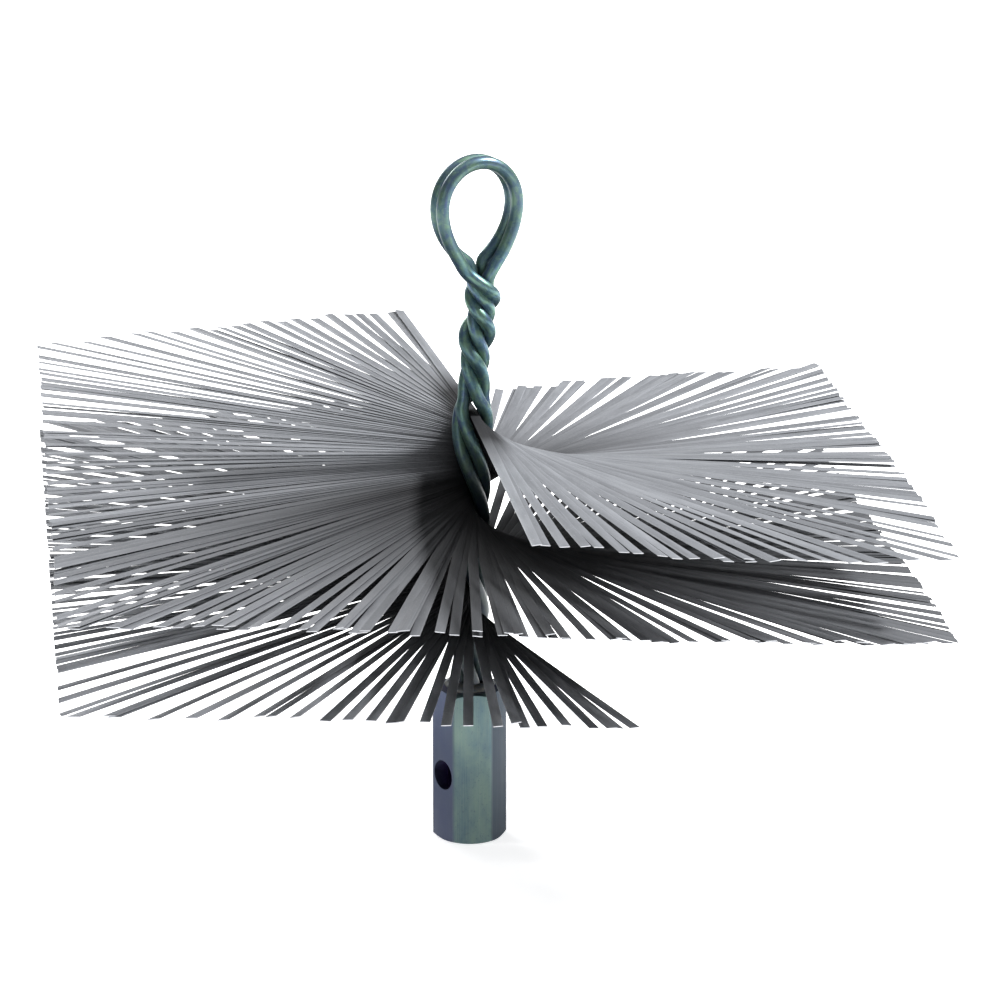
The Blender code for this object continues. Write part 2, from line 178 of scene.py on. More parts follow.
# Painted shade on the stem: dark below the top flat wires, and a little in the eye
PAINTED_STEM_SHADE_TOP = 0.1660
PAINTED_STEM_SHADE_RUN = 0.0360
PAINTED_STEM_SHADE_STRENGTH = 0.90
EYE_PAINTED_SHADE = 0.30
EYE_PAINTED_SHADE_RUN = 0.0120
EYE_PLANE_ANGLE = math.radians(23.0)
EYE_HALF_WIDTH = 0.0151
EYE_WIRE_GAP = -0.0002
EYE_FLARE_STARTS = {-1: 0.0045, 1: -0.0019}
EYE_TAPER_HEIGHT = 0.0229
EYE_CROWN_HEIGHT = 0.0160
EYE_TAPER_POWERS = {-1: 1.00, 1: 0.80}
EYE_TAPER_POINTS = 26
EYE_CROWN_POINTS = 30

EYE_NECK_HEIGHT = TOP_FLAT_HEIGHT + UPPER_NECK
UPPER_TURN = TOP_FLAT_ANGLE - (EYE_PLANE_ANGLE - math.pi / 2) + math.pi * UPPER_HALF_TURNS
SPIN_DOWN_RUN = UPPER_NECK - SPIN_UP_RUN
SPIN_UP_SHARE = 1 / (SPIN_UP_POWER + 1)
UPPER_TWIST = (UPPER_TURN - SLOT_TWIST * SPIN_UP_RUN * (1 - SPIN_UP_SHARE)) / (
    SPIN_UP_RUN * SPIN_UP_SHARE + SPIN_DOWN_RUN / 2
)

# Weld bead
BEAD_INNER_RADIUS = 0.0056
BEAD_WIDTH = 0.0036
BEAD_HEIGHT = 0.0024
BEAD_RIPPLES = 17
BEAD_RIPPLE_DEPTH = 0.00025
BEAD_ROUND_POINTS = 144
BEAD_ARC_POINTS = 10
BEAD_CREASE = math.radians(60.0)
BEAD_WIDE_SWAY = 0.12
BEAD_WIDE_LOBES = 3
BEAD_WIDE_PHASE = 0.7
BEAD_FINE_SWAY = 0.08
BEAD_FINE_LOBES = 5

# Finishes: a layer hides a share of the colour under it where its pattern runs from low to high
NOISE_SPAN = (0.3, 0.7)
STRIP_METALLIC = 0.55
STRIP_SPECULAR = 0.2
STRIP_ROUGHNESS = (0.38, 0.56)
STRIP_STREAK_NOISE = {"stretch": (45.0, 5200.0, 37.0), "detail": 3.0}
STRIP_PATCH_NOISE = {"stretch": (60.0, 260.0, 37.0)}
STRIP_SPECKLE_NOISE = {"scale": 1400.0, "detail": 2.0}
STRIP_DARK = (0.152, 0.158, 0.170)
STRIP_LIGHT = (0.245, 0.254, 0.272)
STRIP_PATCHES = {"low": 0.35, "high": 0.70, "share": 0.45, "colour": (0.098, 0.103, 0.113)}
STRIP_STREAKS = {"low": 0.40, "high": 0.70, "share": 0.35, "colour": (0.27, 0.28, 0.30)}
STRIP_SPECKLES = {"low": 0.60, "high": 0.72, "share": 0.40, "colour": (0.35, 0.36, 0.38)}
STRIP_EDGE_SHARE = 0.36
STRIP_EDGES = {
    "low": FLAT_WIDTH * STRIP_EDGE_SHARE,
    "high": FLAT_WIDTH / 2,
    "share": 0.30,
    "colour": (0.29, 0.30, 0.32),
}
STRIP_BUMP = {"strength": 0.25, "distance": 0.0001}
# Painted shade on the flat wires: near black, not metallic and rougher
PAINTED_SHADE_COLOUR = (0.004, 0.004, 0.005)
PAINTED_SHADE_ROUGHNESS = 0.3

CUT_END_METALLIC = 0.8
CUT_END_ROUGHNESS = (0.28, 0.45)
CUT_END_NOISE = {"stretch": (1.0, 1.0, 6.0), "scale": 2400.0, "detail": 2.0}
CUT_END_DARK = (0.28, 0.29, 0.31)
CUT_END_LIGHT = (0.48, 0.49, 0.51)

STEM_METALLIC = 0.8
STEM_SPECULAR = 0.4
STEM_ROUGHNESS = (0.30, 0.44)
STEM_CLOUD_NOISE = {"scale": 260.0, "detail": 5.0, "roughness": 0.6, "distortion": 0.4}
STEM_VEIN_NOISE = {"stretch": (120.0, 520.0, 520.0)}
STEM_DIE_LINE_NOISE = {"stretch": (25.0, 3600.0, 3600.0), "detail": 2.0}
STEM_SPECK_NOISE = {"scale": 1500.0, "detail": 3.0}
STEM_BLUE = (0.068, 0.132, 0.160)
STEM_GREEN_CLOUDS = {"low": 0.40, "high": 0.60, "share": 1.0, "colour": (0.126, 0.218, 0.162)}
STEM_VEINS = {"low": 0.48, "high": 0.68, "share": 0.70, "colour": (0.060, 0.082, 0.195)}
STEM_SPECKS = {"low": 0.60, "high": 0.74, "share": 0.50, "colour": (0.21, 0.34, 0.25)}
# Painted shade in the grooves between the strands
STEM_GROOVE_SHADE = {"low": 0.30, "high": 0.95, "share": 0.28, "colour": (0.008, 0.009, 0.035)}
STEM_DIE_LINE_DEPTH = 0.5
STEM_BUMP = {"strength": 0.3, "distance": 0.0002}
GROOVE_ROUGHNESS = 0.25
# Painted shade on the stem: near black and hardly metallic
PAINTED_STEM_SHADE_COLOUR = (0.004, 0.006, 0.010)
PAINTED_STEM_SHADE_METALLIC = 0.1

COUPLING_METALLIC = 0.8
COUPLING_SPECULAR = 0.2
COUPLING_ROUGHNESS = (0.30, 0.44)
COUPLING_LINE_NOISE = {"stretch": (2600.0, 2600.0, 30.0), "detail": 3.0}
COUPLING_CLOUD_NOISE = {"stretch": (90.0, 90.0, 45.0), "detail": 5.0, "roughness": 0.6, "distortion": 0.3}
COUPLING_SPECK_NOISE = {"scale": 1300.0, "detail": 3.0}
COUPLING_BLUE = (0.075, 0.118, 0.138)
COUPLING_GREEN_CLOUDS = {"low": 0.35, "high": 0.65, "share": 1.0, "colour": (0.125, 0.180, 0.160)}
COUPLING_LINES = {"low": 0.45, "high": 0.75, "share": 0.40, "colour": (0.17, 0.215, 0.20)}
COUPLING_SPECKS = {"low": 0.60, "high": 0.74, "share": 0.40, "colour": (0.045, 0.050, 0.085)}
COUPLING_BUMP = {"strength": 0.22, "distance": 0.0001}
# Painted shade on the left and right facets: darker blue on the left; on the right darker still, less
# metallic and smoother
FACET_SHARES = (0.54, 0.64)
FACET_START, FACET_END = [HEX_INRADIUS * share for share in FACET_SHARES]
LEFT_FACET_SHADE = {"low": -FACET_START, "high": -FACET_END, "share": 0.80, "colour": (0.038, 0.042, 0.098)}
RIGHT_FACET_SHADE = {"low": FACET_START, "high": FACET_END, "share": 0.90, "colour": (0.022, 0.036, 0.060)}
RIGHT_FACET_METALLIC = 0.15
RIGHT_FACET_ROUGHNESS = 0.25
BORE_COLOUR = (0.075, 0.050, 0.160)

WELD_METALLIC = 0.75
WELD_ROUGHNESS = (0.42, 0.65)
WELD_CLOUD_NOISE = {"scale": 420.0, "detail": 5.0}
WELD_GRAIN_NOISE = {"scale": 2200.0, "detail": 3.0}
WELD_COLD = (0.07, 0.09, 0.11)
WELD_WARM_CLOUDS = {"low": 0.35, "high": 0.65, "share": 1.0, "colour": (0.16, 0.15, 0.13)}
WELD_BUMP = {"strength": 0.4, "distance": 0.0002}

# Floor, sky and lamps
FLOOR_NOISE = {"scale": 1.5, "detail": 3.0}
FLOOR_DARK = (0.93, 0.93, 0.93)
FLOOR_LIGHT = (0.96, 0.96, 0.96)
FLOOR_ROUGHNESS = 0.9
FLOOR_GLOW_COLOUR = (1.0, 1.0, 1.0, 1.0)
FLOOR_GLOW = 0.74
FLOOR_SIZE = 14.0
FLOOR_CENTRE = (0, 3.0, 0)
SKY_STRENGTH = 0.26
SKY_COLOUR = (0.95, 0.97, 1.0, 1.0)
LAMP_COLOUR = (1.0, 1.0, 1.0)
LAMPS = {
    "overhead": {"place": (0.0, 0.3, 2.2), "aim": (0, 0, 0.1), "size": (2.4, 2.4), "power": 20.0},
    "key": {"place": (1.90, 0.18, 2.34), "aim": (0, 0, 0.13), "size": (0.39, 0.39), "power": 245.0},
    "rear_left": {"place": (-0.8, 1.9, 0.9), "aim": (0, 0, 0.15), "size": (1.0, 0.7), "power": 20.0},
    "front_left": {"place": (-0.9, -1.8, 0.8), "aim": (0, 0, 0.12), "size": (0.9, 0.9), "power": 5.0},
}

# Camera, from the places of the wire tips in the photograph
CAMERA_AZIMUTH = math.radians(-5.52)
CAMERA_ELEVATION = math.radians(16.54)
CAMERA_DISTANCE = 1.964
CAMERA_AIM = Vector((0, 0, 0.130))
AIM_PIXEL = (469.1, 495.4)
IMAGE_SIDE = 1000.0
FOCAL_PIXELS = 5423.0
SENSOR_WIDTH = 36.0
CLIP_START = 0.01
CLIP_END = 50.0


def add_node(tree, kind, inputs=None, **settings):
    """A shader node with its settings, and its inputs linked or set."""
    item = tree.nodes.new("ShaderNode" + kind)
    for key, value in settings.items():
        setattr(item, key, value)
    for key, value in (inputs or {}).items():
        if isinstance(value, bpy.types.NodeSocket):
            tree.links.new(value, item.inputs[key])
        else:
            item.inputs[key].default_value = value
    return item


def start_material(name, metallic, **constants):
    material = bpy.data.materials.new(name)
    material.use_nodes = True
    tree = material.node_tree
    shader = tree.nodes["Principled BSDF"]
    shader.inputs["Metallic"].default_value = metallic
    for key, value in constants.items():
        shader.inputs[key.replace("_", " ")].default_value = value
    return material, tree, shader


def noise(tree, vector, scale=1.0, detail=4.0, roughness=0.55, distortion=0.0, stretch=None):
    """A pattern from 0 to 1, finer along the axes that the stretch scales more."""
    if stretch:
        vector = add_node(tree, "Mapping", {"Vector": vector, "Scale": stretch}).outputs["Vector"]
    inputs = {
        "Vector": vector,
        "Scale": scale,
        "Detail": detail,
        "Roughness": roughness,
        "Distortion": distortion,
    }
    return add_node(tree, "TexNoise", inputs).outputs["Fac"]


def remap(tree, value, low, high, to_low, to_high):
    inputs = {"Value": value, "From Min": low, "From Max": high, "To Min": to_low, "To Max": to_high}
    return add_node(tree, "MapRange", inputs).outputs["Result"]


def blend(tree, factor, first, second):
    first = (*first, 1.0) if isinstance(first, tuple) else first
    second = (*second, 1.0) if isinstance(second, tuple) else second
    return add_node(tree, "Mix", {0: factor, 6: first, 7: second}, data_type="RGBA").outputs[2]


def cover(tree, pattern, under, low, high, share, colour):
    """The colour under it with a layer laid over it where the pattern runs from low to high."""
    return blend(tree, remap(tree, pattern, low, high, 0.0, share), under, colour)


def calculate(tree, operation, first, second=0.0):
    return add_node(tree, "Math", {0: first, 1: second}, operation=operation).outputs[0]


def bump(tree, height, strength, distance):
    inputs = {"Height": height, "Strength": strength, "Distance": distance}
    return add_node(tree, "Bump", inputs).outputs["Normal"]


def attribute(tree, name):
    return add_node(tree, "Attribute", attribute_name=name)


def object_place(tree):
    return add_node(tree, "TexCoord").outputs["Object"]


def flat_wire_material():
    """Spring steel strip with drawn lines and worn edges, each wire of its own tone, with painted shade near
    the stem.
    """
    material, tree, shader = start_material(
        "flat_wire_steel", STRIP_METALLIC, Specular_IOR_Level=STRIP_SPECULAR
    )
    place = attribute(tree, "strip_place").outputs["Vector"]
    tone = attribute(tree, "strand_tone").outputs["Fac"]
    painted_shade = attribute(tree, "painted_shade").outputs["Fac"]
    streaks = noise(tree, place, **STRIP_STREAK_NOISE)
    patches = noise(tree, place, **STRIP_PATCH_NOISE)
    speckles = noise(tree, object_place(tree), **STRIP_SPECKLE_NOISE)
    across = calculate(tree, "ABSOLUTE", add_node(tree, "SeparateXYZ", {0: place}).outputs["Y"])
    colour = blend(tree, tone, STRIP_DARK, STRIP_LIGHT)
    colour = cover(tree, patches, colour, **STRIP_PATCHES)
    colour = cover(tree, streaks, colour, **STRIP_STREAKS)
    colour = cover(tree, speckles, colour, **STRIP_SPECKLES)
    colour = cover(tree, across, colour, **STRIP_EDGES)
    # Painted shade near the stem and under the turn above, with a painted shadow at the topmost wires' roots
    colour = blend(tree, painted_shade, colour, PAINTED_SHADE_COLOUR)
    metallic = remap(tree, painted_shade, 0.0, 1.0, STRIP_METALLIC, 0.0)
    drawn_rough = remap(tree, streaks, *NOISE_SPAN, *STRIP_ROUGHNESS)
    painted_shade_rough = remap(tree, painted_shade, 0.0, 1.0, 0.0, PAINTED_SHADE_ROUGHNESS)
    tree.links.new(colour, shader.inputs["Base Color"])
    tree.links.new(metallic, shader.inputs["Metallic"])
    tree.links.new(calculate(tree, "ADD", drawn_rough, painted_shade_rough), shader.inputs["Roughness"])
    tree.links.new(bump(tree, streaks, **STRIP_BUMP), shader.inputs["Normal"])
    return material


def cut_end_material():
    """Freshly sheared steel at the wires' ends."""
    material, tree, shader = start_material("flat_wire_cut_end", CUT_END_METALLIC)
    grain = noise(tree, object_place(tree), **CUT_END_NOISE)
    tree.links.new(blend(tree, grain, CUT_END_DARK, CUT_END_LIGHT), shader.inputs["Base Color"])
    tree.links.new(remap(tree, grain, *NOISE_SPAN, *CUT_END_ROUGHNESS), shader.inputs["Roughness"])
    return material


def stem_material():
    """Round wire with a dark blue-green finish, with painted shade in the grooves between the strands, below
    the top flat wires and in the eye.
    """
    material, tree, shader = start_material(
        "stem_wire_steel", STEM_METALLIC, Specular_IOR_Level=STEM_SPECULAR
    )
    place = attribute(tree, "wire_place").outputs["Vector"]
    groove_shade = attribute(tree, "groove_shade").outputs["Fac"]
    painted_stem_shade = attribute(tree, "painted_stem_shade").outputs["Fac"]
    clouds = noise(tree, object_place(tree), **STEM_CLOUD_NOISE)
    specks = noise(tree, object_place(tree), **STEM_SPECK_NOISE)
    veins = noise(tree, place, **STEM_VEIN_NOISE)
    die_lines = noise(tree, place, **STEM_DIE_LINE_NOISE)
    colour = cover(tree, clouds, STEM_BLUE, **STEM_GREEN_CLOUDS)
    colour = cover(tree, veins, colour, **STEM_VEINS)
    colour = cover(tree, specks, colour, **STEM_SPECKS)
    # Painted shade in the grooves between the strands
    colour = cover(tree, groove_shade, colour, **STEM_GROOVE_SHADE)
    # Painted shade below the top flat wires and in the eye
    colour = blend(tree, painted_stem_shade, colour, PAINTED_STEM_SHADE_COLOUR)
    metallic = remap(tree, painted_stem_shade, 0.0, 1.0, STEM_METALLIC, PAINTED_STEM_SHADE_METALLIC)
    drawn_rough = remap(tree, die_lines, *NOISE_SPAN, *STEM_ROUGHNESS)
    groove_shade_rough = remap(tree, groove_shade, STEM_GROOVE_SHADE["low"], 1.0, 0.0, GROOVE_ROUGHNESS)
    height = calculate(tree, "ADD", calculate(tree, "MULTIPLY", die_lines, STEM_DIE_LINE_DEPTH), clouds)
    tree.links.new(colour, shader.inputs["Base Color"])
    tree.links.new(metallic, shader.inputs["Metallic"])
    tree.links.new(calculate(tree, "ADD", drawn_rough, groove_shade_rough), shader.inputs["Roughness"])
    tree.links.new(bump(tree, height, **STEM_BUMP), shader.inputs["Normal"])
    return material


def coupling_material():
    """Drawn hexagon bar, grey-green with lines along it, and painted shade, darker blue, on its left and
    right facets.
    """
    material, tree, shader = start_material(
        "coupling_steel", COUPLING_METALLIC, Specular_IOR_Level=COUPLING_SPECULAR
    )
    where = object_place(tree)
    bore = attribute(tree, "bore").outputs["Fac"]
    lines = noise(tree, where, **COUPLING_LINE_NOISE)
    clouds = noise(tree, where, **COUPLING_CLOUD_NOISE)
    specks = noise(tree, where, **COUPLING_SPECK_NOISE)
    sideways = add_node(tree, "SeparateXYZ", {0: where}).outputs["X"]
    colour = cover(tree, clouds, COUPLING_BLUE, **COUPLING_GREEN_CLOUDS)
    colour = cover(tree, lines, colour, **COUPLING_LINES)
    colour = cover(tree, specks, colour, **COUPLING_SPECKS)
    # Painted shade on the left and right facets
    colour = cover(tree, sideways, colour, **LEFT_FACET_SHADE)
    colour = cover(tree, sideways, colour, **RIGHT_FACET_SHADE)
    colour = blend(tree, bore, colour, BORE_COLOUR)
    metallic = remap(tree, sideways, FACET_START, FACET_END, COUPLING_METALLIC, RIGHT_FACET_METALLIC)
    drawn_rough = remap(tree, lines, *NOISE_SPAN, *COUPLING_ROUGHNESS)
    facet_rough = remap(tree, sideways, FACET_START, FACET_END, 0.0, RIGHT_FACET_ROUGHNESS)
    tree.links.new(colour, shader.inputs["Base Color"])
    tree.links.new(metallic, shader.inputs["Metallic"])
    tree.links.new(calculate(tree, "ADD", drawn_rough, facet_rough), shader.inputs["Roughness"])
    tree.links.new(bump(tree, lines, **COUPLING_BUMP), shader.inputs["Normal"])
    return material


def weld_material():
    """Weld metal with heat colours and a little scale."""
    material, tree, shader = start_material("weld_metal", WELD_METALLIC)
    clouds = noise(tree, object_place(tree), **WELD_CLOUD_NOISE)
    grains = noise(tree, object_place(tree), **WELD_GRAIN_NOISE)
    tree.links.new(cover(tree, clouds, WELD_COLD, **WELD_WARM_CLOUDS), shader.inputs["Base Color"])
    tree.links.new(remap(tree, clouds, *NOISE_SPAN, *WELD_ROUGHNESS), shader.inputs["Roughness"])
    tree.links.new(bump(tree, grains, **WELD_BUMP), shader.inputs["Normal"])
    return material


def floor_material():
    """A pale floor that glows a little, as on a light table."""
    material, tree, shader = start_material("studio_floor", 0.0, Roughness=FLOOR_ROUGHNESS)
    clouds = noise(tree, object_place(tree), **FLOOR_NOISE)
    tree.links.new(blend(tree, clouds, FLOOR_DARK, FLOOR_LIGHT), shader.inputs["Base Color"])
    shader.inputs["Emission Color"].default_value = FLOOR_GLOW_COLOUR
    shader.inputs["Emission Strength"].default_value = FLOOR_GLOW
    return material


def link_mesh(name, mesh, materials):
    item = bpy.data.objects.new(name, mesh)
    bpy.context.scene.collection.objects.link(item)
    for material in materials:
        mesh.materials.append(material)
    return item


def set_attribute(mesh, name, kind, values):
    """A named value at each vertex, a number or three."""
    layer = mesh.attributes.new(name, kind, "POINT")
    key = "vector" if kind == "FLOAT_VECTOR" else "value"
    flat = [part for value in values for part in value] if kind == "FLOAT_VECTOR" else values
    layer.data.foreach_set(key, flat)


def ease(share):
    share = min(max(share, 0.0), 1.0)
    return share * share * (3.0 - 2.0 * share)


def stem_axis(height):
    start = EYE_NECK_HEIGHT - STEM_LEAN_RUN
    bow = STEM_BOW * ease(1 - abs(height - STEM_BOW_HEIGHT) / STEM_BOW_REACH)
    return Vector((STEM_LEAN * ease((height - start) / STEM_LEAN_RUN) + bow, 0, height))


def upper_turn(rise):
    up = min(rise, SPIN_UP_RUN)
    down = min(max(rise - SPIN_UP_RUN, 0), SPIN_DOWN_RUN)
    gain = (up / SPIN_UP_RUN) ** SPIN_UP_POWER * SPIN_UP_SHARE
    turn = up * (SLOT_TWIST + (UPPER_TWIST - SLOT_TWIST) * gain)
    return turn + UPPER_TWIST * (down - down * down / (2 * SPIN_DOWN_RUN))


def slot_angle(height):
    """The direction of the slot between the strands, seen from above."""
    rise = height - TOP_FLAT_HEIGHT
    if rise <= 0:
        return TOP_FLAT_ANGLE - SLOT_TWIST * rise
    return TOP_FLAT_ANGLE - upper_turn(rise)


def strand_offsets(twist, half_slot):
    """How far a strand's centre lies from the axis, along the slot and across it."""
    along = STEM_WIRE_RADIUS
    across = STEM_WIRE_RADIUS
    for _ in range(SETTLE_ROUNDS):
        stretch = math.hypot(1.0, twist * math.hypot(along, across))
        bearing = math.atan2(across, along)
        along = STRAND_GAP / 2 + STEM_WIRE_RADIUS * math.hypot(math.cos(bearing), stretch * math.sin(bearing))
        across = half_slot + STEM_WIRE_RADIUS * math.hypot(math.sin(bearing), stretch * math.cos(bearing))
    return along, across


SLOT_OFFSETS = strand_offsets(SLOT_TWIST, FLAT_WIDTH / 2 + SLOT_CLEARANCE)
LOWER_OFFSETS = strand_offsets(SLOT_TWIST, STRAND_GAP / 2)


def offsets_at(height):
    above = ease((height - TOP_FLAT_HEIGHT - FLAT_THICKNESS) / SLOT_BLEND)
    below = ease((BOTTOM_FLAT_HEIGHT - FLAT_THICKNESS - height) / SLOT_BLEND)
    return [
        opened + above * (upper - opened) + below * (lower - opened)
        for opened, upper, lower in zip(SLOT_OFFSETS, UPPER_OFFSETS, LOWER_OFFSETS)
    ]


def shear_at(height):
    """How far the two wires' rows are pushed past each other, so that the four strands nest."""
    below = ease((height - TOP_FLAT_HEIGHT - SHEAR_START) / SHEAR_RUN)
    above = ease((EYE_NECK_HEIGHT + SHEAR_FADE / 2 - height) / SHEAR_FADE)
    return UPPER_SHEAR * below * above


def eye_opening(height, row):
    """How far the eye's sides have spread at a height, from 0 at the neck to 1 at its widest."""
    run = EYE_TAPER_HEIGHT + EYE_FLARE_STARTS[row]
    share = min(max((height - EYE_NECK_HEIGHT + EYE_FLARE_STARTS[row]) / run, 0), 1)
    return math.sin(math.pi / 2 * share ** EYE_TAPER_POWERS[row])


def stem_point(height, along, across):
    angle = slot_angle(height)
    slot = Vector((math.cos(angle), math.sin(angle), 0))
    side = Vector((-math.sin(angle), math.cos(angle), 0))
    return stem_axis(height) + along * slot + across * side


def strand_path(row, side):
    """A strand's centre points from its end in the coupling up to the eye's neck."""
    points = []
    for step in range(STRAND_POINTS + 1):
        height = STEM_END_HEIGHT + (EYE_NECK_HEIGHT - STEM_END_HEIGHT) * step / STRAND_POINTS
        along, across = offsets_at(height)
        across += eye_opening(height, row) * (EYE_HALF_WIDTH - across)
        points.append(stem_point(height, row * along, side * across + row * shear_at(height)))
    return points


def eye_path(row):
    """One wire's way round the eye, from one side of the neck over the crown to the other."""
    neck_along, neck_across = offsets_at(EYE_NECK_HEIGHT)
    eye_along = STEM_WIRE_RADIUS + EYE_WIRE_GAP / 2
    half = []
    for step in range(1, EYE_TAPER_POINTS + 1):
        share = step / EYE_TAPER_POINTS
        rise = share * EYE_TAPER_HEIGHT
        along = neck_along + ease(share) * (eye_along - neck_along)
        across = neck_across + eye_opening(EYE_NECK_HEIGHT + rise, row) * (EYE_HALF_WIDTH - neck_across)
        half.append((rise, along, across))
    for step in range(1, EYE_CROWN_POINTS + 1):
        bearing = math.pi / 2 * step / EYE_CROWN_POINTS
        height = EYE_TAPER_HEIGHT + EYE_CROWN_HEIGHT * math.sin(bearing)
        half.append((height, eye_along, EYE_HALF_WIDTH * math.cos(bearing)))
    return [
        stem_point(
            EYE_NECK_HEIGHT + height,
            row * along,
            side * across + row * shear_at(EYE_NECK_HEIGHT + height),
        )
        for side, run in ((1, half), (-1, half[-2::-1]))
        for height, along, across in run
    ]


def smooth_run(points, rounds):
    """The points with their kinks eased: each inner point moves towards the middle of its neighbours."""
    for _ in range(rounds):
        points = (
            [points[0]]
            + [(one + 2 * two + three) / 4 for one, two, three in zip(points, points[1:], points[2:])]
            + [points[-1]]
        )
    return points


def round_wire(name, points, material):
    """A tube along the points that doesn't twist, with its places marked, and its painted shade in the
    grooves, below the flat wires and in the eye.
    """
    bm = bmesh.new()
    places = []
    groove_shades = []
    painted_stem_shades = []
    rings = []
    travelled = 0.0
    tangent = (points[1] - points[0]).normalized()
    normal = tangent.orthogonal().normalized()
    for number, point in enumerate(points):
        before = points[max(number - 1, 0)]
        after = points[min(number + 1, len(points) - 1)]
        travelled += (point - before).length
        following = (after - before).normalized()
        normal = (tangent.rotation_difference(following) @ normal).normalized()
        tangent = following
        binormal = tangent.cross(normal)
        axis = stem_axis(point.z)
        inward = axis - point
        crowded = 1.0 - ease((inward.length - GROOVE_REACH) / GROOVE_FADE)
        # Painted shade: dark below the top flat wires and a little darker in the eye
        painted_stem_shade = PAINTED_STEM_SHADE_STRENGTH * ease((PAINTED_STEM_SHADE_TOP - point.z) / PAINTED_STEM_SHADE_RUN)
        painted_stem_shade += EYE_PAINTED_SHADE * ease((point.z - EYE_NECK_HEIGHT) / EYE_PAINTED_SHADE_RUN)
        painted_stem_shades.extend([painted_stem_shade] * STEM_SIDES)
        ring = []
        for step in range(STEM_SIDES):
            bearing = 2 * math.pi * step / STEM_SIDES
            outward = math.cos(bearing) * normal + math.sin(bearing) * binormal
            ring.append(bm.verts.new(point + STEM_WIRE_RADIUS * outward))
            places.append(
                (travelled, math.cos(bearing) * STEM_WIRE_RADIUS, math.sin(bearing) * STEM_WIRE_RADIUS)
            )
            # Painted shade on the side that faces the stem's axis
            facing = outward.dot(inward.normalized())
            groove_shades.append(crowded * max(0.0, GROOVE_WRAP + facing))
        rings.append(ring)
    for first, second in zip(rings, rings[1:]):
        for step in range(STEM_SIDES):
            after = (step + 1) % STEM_SIDES
            bm.faces.new((first[step], first[after], second[after], second[step]))
    bm.faces.new(rings[0][::-1])
    bm.faces.new(rings[-1])
    bmesh.ops.recalc_face_normals(bm, faces=bm.faces)
    mesh = bpy.data.meshes.new(name)
    bm.to_mesh(mesh)
    bm.free()
    mesh.shade_smooth()
    set_attribute(mesh, "wire_place", "FLOAT_VECTOR", places)
    set_attribute(mesh, "groove_shade", "FLOAT", groove_shades)
    set_attribute(mesh, "painted_stem_shade", "FLOAT", painted_stem_shades)
    return link_mesh(name, mesh, [material])


def make_stem(material):
    for row, node in ((-1, "stem_wire_front"), (1, "stem_wire_rear")):
        points = strand_path(row, 1) + eye_path(row) + strand_path(row, -1)[::-1]
        wire = round_wire(node + "_dressed", smooth_run(points, STEM_SMOOTH_ROUNDS), material)
        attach(wire, "root")
        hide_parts(node)


def flat_ring():
    """The strip's rounded section as (across, up) points."""
    half = FLAT_WIDTH / 2
    top = FLAT_THICKNESS / 2
    quarter = [(half, top - FLAT_EDGE_DOWN), (half - FLAT_EDGE_ACROSS, top)]
    upper = quarter + [(-across, up) for across, up in quarter[::-1]]
    return upper + [(-across, -up) for across, up in upper]


FLAT_RING = flat_ring()


def reach_to_square(start, direction):
    """How far a line from the start runs before it meets the square."""
    runs = []
    for place, heading in ((start.x, direction.x), (start.y, direction.y)):
        if abs(heading) > DIRECTION_LIMIT:
            runs.append((math.copysign(SQUARE_HALF, heading) - place) / heading)
    return min(runs)


def half_strand(centre, angle, fall, draw):
    """Rings of points from the stem out to one tip, with each ring's distance from the stem."""
    direction = Vector((math.cos(angle), math.sin(angle), 0))
    side = Vector((-math.sin(angle), math.cos(angle), 0))
    reach = reach_to_square(centre, direction)
    shortfall = FLAT_SHORTFALL * draw.random() ** 3
    tip_lift = draw.uniform(-FLAT_TIP_SPREAD, FLAT_TIP_SPREAD)
    tip_twist = draw.uniform(-FLAT_TWIST_SPREAD, FLAT_TWIST_SPREAD)
    rings = []
    for share in FLAT_STATIONS + (1.0,):
        twist = tip_twist * share
        lift = Vector((0, 0, tip_lift * share**3 - fall * share * reach / SQUARE_HALF))
        flat_side = math.cos(twist) * side + math.sin(twist) * Vector((0, 0, 1))
        flat_up = flat_side.cross(direction) * -1
        ring = []
        for across, up in FLAT_RING:
            root = centre + across * side
            run = share * reach
            if share == 1.0:
                run = reach_to_square(root, direction) - shortfall
            ring.append(centre + lift + run * direction + across * flat_side + up * flat_up)
        rings.append((ring, share * reach))
    return rings


def bundle_angles(number, count, close_steps, draw):
    """The directions of one bundle's flat wires: an even spiral whose wires lie singly or close together."""
    close = set(draw.sample(range(count), close_steps))
    steps = [draw.uniform(*(CLOSE_ANGLES if step in close else WIDE_ANGLES)) for step in range(count)]
    angle = TOP_FLAT_ANGLE + number * BUNDLE_TURN
    angles = []
    for step in steps:
        angles.append(angle)
        angle += step * BUNDLE_TURN / sum(steps)
    return angles


